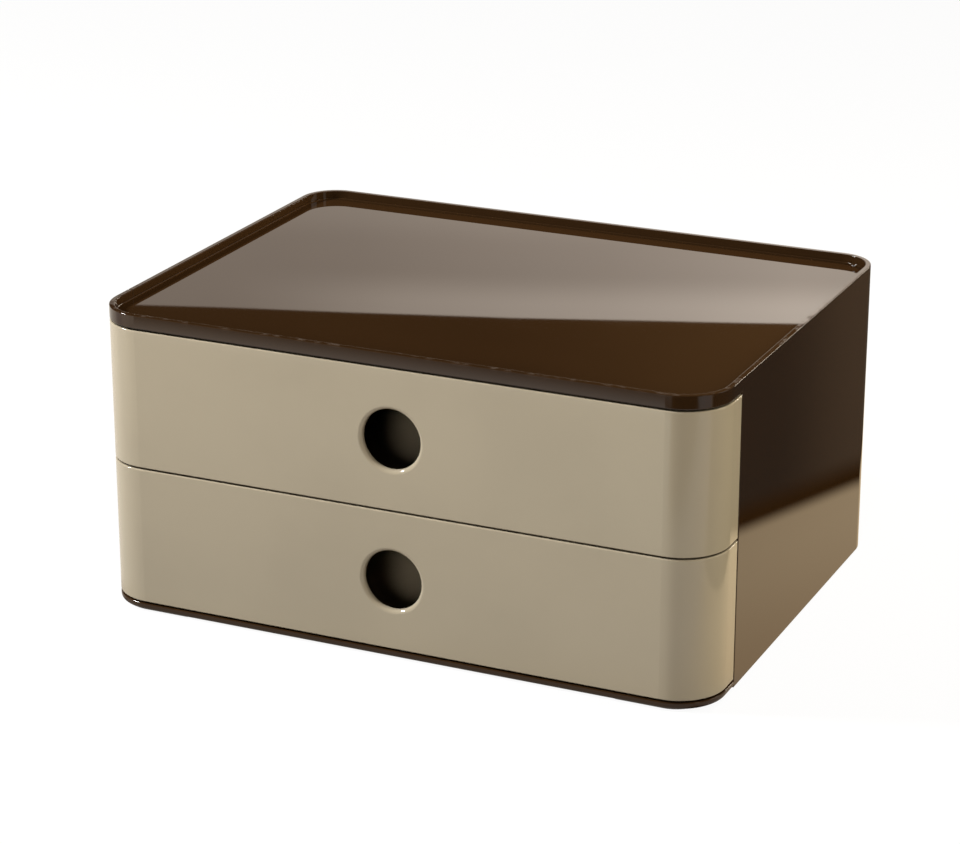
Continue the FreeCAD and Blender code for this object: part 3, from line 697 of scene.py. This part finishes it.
def make_world(studio):
    """A dark studio with a bright sweep behind the box, which the camera sees as white."""
    world = bpy.data.worlds.new("studio")
    world.use_nodes = True
    bpy.context.scene.world = world
    tree = Nodes(world.node_tree, "Generated")
    x, y, z = tree.axes["X"], tree.axes["Y"], tree.axes["Z"]
    turn = sweep_turn(tree)
    over = over_sweep(tree, turn)
    fringe = tree.product(tree.span(over, *FRINGE_UNDER_EDGE, 0.0, FRINGE_GAIN),
                          tree.rise(turn, *FRINGE_TURN))
    fringe = tree.total(fringe, tree.span(over, *LOW_UNDER_EDGE, LOW_GAIN, 0.0))
    strength = tree.product(tree.stairs(turn, SWEEP_STOPS), tree.total(fringe, 1.0))
    sweep = tree.times(tuple(studio.sweep_colour), strength)
    ceiling = tree.times(CEILING_GLOW, tree.rise(turn, *CEILING_TURN))
    dim = tree.plus(ceiling, tree.times(ROOM_GLOW, tree.span(y, *ROOM_AHEAD, 1.0, ROOM_LEAST)))
    room = tree.blend(tree.fall(over, -SWEEP_SOFT, SWEEP_SOFT), dim, sweep)
    heading = tree.math("ARCTAN2", x, y)
    height = tree.math("ARCSINE", z)
    for glow, west, east, low, high in PANELS:
        across = tree.window(heading, math.radians(west), math.radians(east), PANEL_SOFT)
        upright = tree.window(height, math.radians(low), math.radians(high), PANEL_SOFT)
        room = tree.plus(room, tree.times(glow, tree.product(across, upright)))
    path = tree.add("ShaderNodeLightPath").outputs
    shown = tree.blend(path["Is Camera Ray"], room, WHITE)
    tree.tree.links.new(shown, tree.tree.nodes["Background"].inputs["Color"])


# --- operators ---

def settings():
    return bpy.context.scene.file_box


class FinishCasing(Operator):
    """Finish the casing, the top panel and the base plate"""
    bl_idname = "file_box.finish_casing"
    bl_label = "Finish casing"

    def execute(self, context):
        dress(CASING_NODES, gloss_plastic, settings().casing)
        return {"FINISHED"}


class FinishFronts(Operator):
    """Finish both drawer fronts"""
    bl_idname = "file_box.finish_fronts"
    bl_label = "Finish drawer fronts"

    def execute(self, context):
        dress(FRONT_NODES, gloss_plastic, settings().front)
        return {"FINISHED"}


class FinishTrays(Operator):
    """Finish both drawer trays"""
    bl_idname = "file_box.finish_trays"
    bl_label = "Finish drawer trays"

    def execute(self, context):
        dress(TRAY_NODES, tray_plastic, settings().tray)
        return {"FINISHED"}


class FinishFrames(Operator):
    """Finish the inner side frames"""
    bl_idname = "file_box.finish_frames"
    bl_label = "Finish side frames"

    def execute(self, context):
        dress(FRAME_NODES, grained_plastic, settings().side_frame)
        return {"FINISHED"}


class FinishFeet(Operator):
    """Finish the rubber feet"""
    bl_idname = "file_box.finish_feet"
    bl_label = "Finish feet"

    def execute(self, context):
        dress(FOOT_NODES, foot_rubber, settings().foot)
        return {"FINISHED"}


class FinishScrews(Operator):
    """Finish the screws under the base"""
    bl_idname = "file_box.finish_screws"
    bl_label = "Finish screws"

    def execute(self, context):
        dress(SCREW_NODES, plated_steel, settings().screw)
        return {"FINISHED"}


class SetStudio(Operator):
    """Add the floor, the lights and the camera"""
    bl_idname = "file_box.set_studio"
    bl_label = "Set studio"

    def execute(self, context):
        studio = settings().studio
        make_floor(studio)
        make_camera(studio)
        make_world(studio)
        make_lamps(studio)
        context.scene.view_settings.view_transform = "Standard"
        return {"FINISHED"}


OPERATORS = (FinishCasing, FinishFronts, FinishTrays, FinishFrames, FinishFeet, FinishScrews, SetStudio)


class FileBoxPanel(Panel):
    """Lists the steps of the file box"""
    bl_label = "File Box"
    bl_idname = "VIEW3D_PT_file_box"
    bl_space_type = "VIEW_3D"
    bl_region_type = "UI"
    bl_category = "File Box"

    def draw(self, context):
        for operator in OPERATORS:
            self.layout.operator(operator.bl_idname)
        for name, kind in SETTINGS.items():
            section = self.layout.box()
            section.label(text=name.replace("_", " ").title())
            for key in kind.__annotations__:
                section.prop(getattr(context.scene.file_box, name), key)


CLASSES = (*SETTINGS.values(), FileBoxSettings, *OPERATORS, FileBoxPanel)


def register():
    for kind in CLASSES:
        bpy.utils.register_class(kind)
    bpy.types.Scene.file_box = PointerProperty(type=FileBoxSettings)


def unregister():
    del bpy.types.Scene.file_box
    for kind in reversed(CLASSES):
        bpy.utils.unregister_class(kind)


def main():
    register()
    bpy.ops.file_box.finish_casing()
    bpy.ops.file_box.finish_fronts()
    bpy.ops.file_box.finish_trays()
    bpy.ops.file_box.finish_frames()
    bpy.ops.file_box.finish_feet()
    bpy.ops.file_box.finish_screws()
    bpy.ops.file_box.set_studio()


if __name__ == "__main__":
    main()
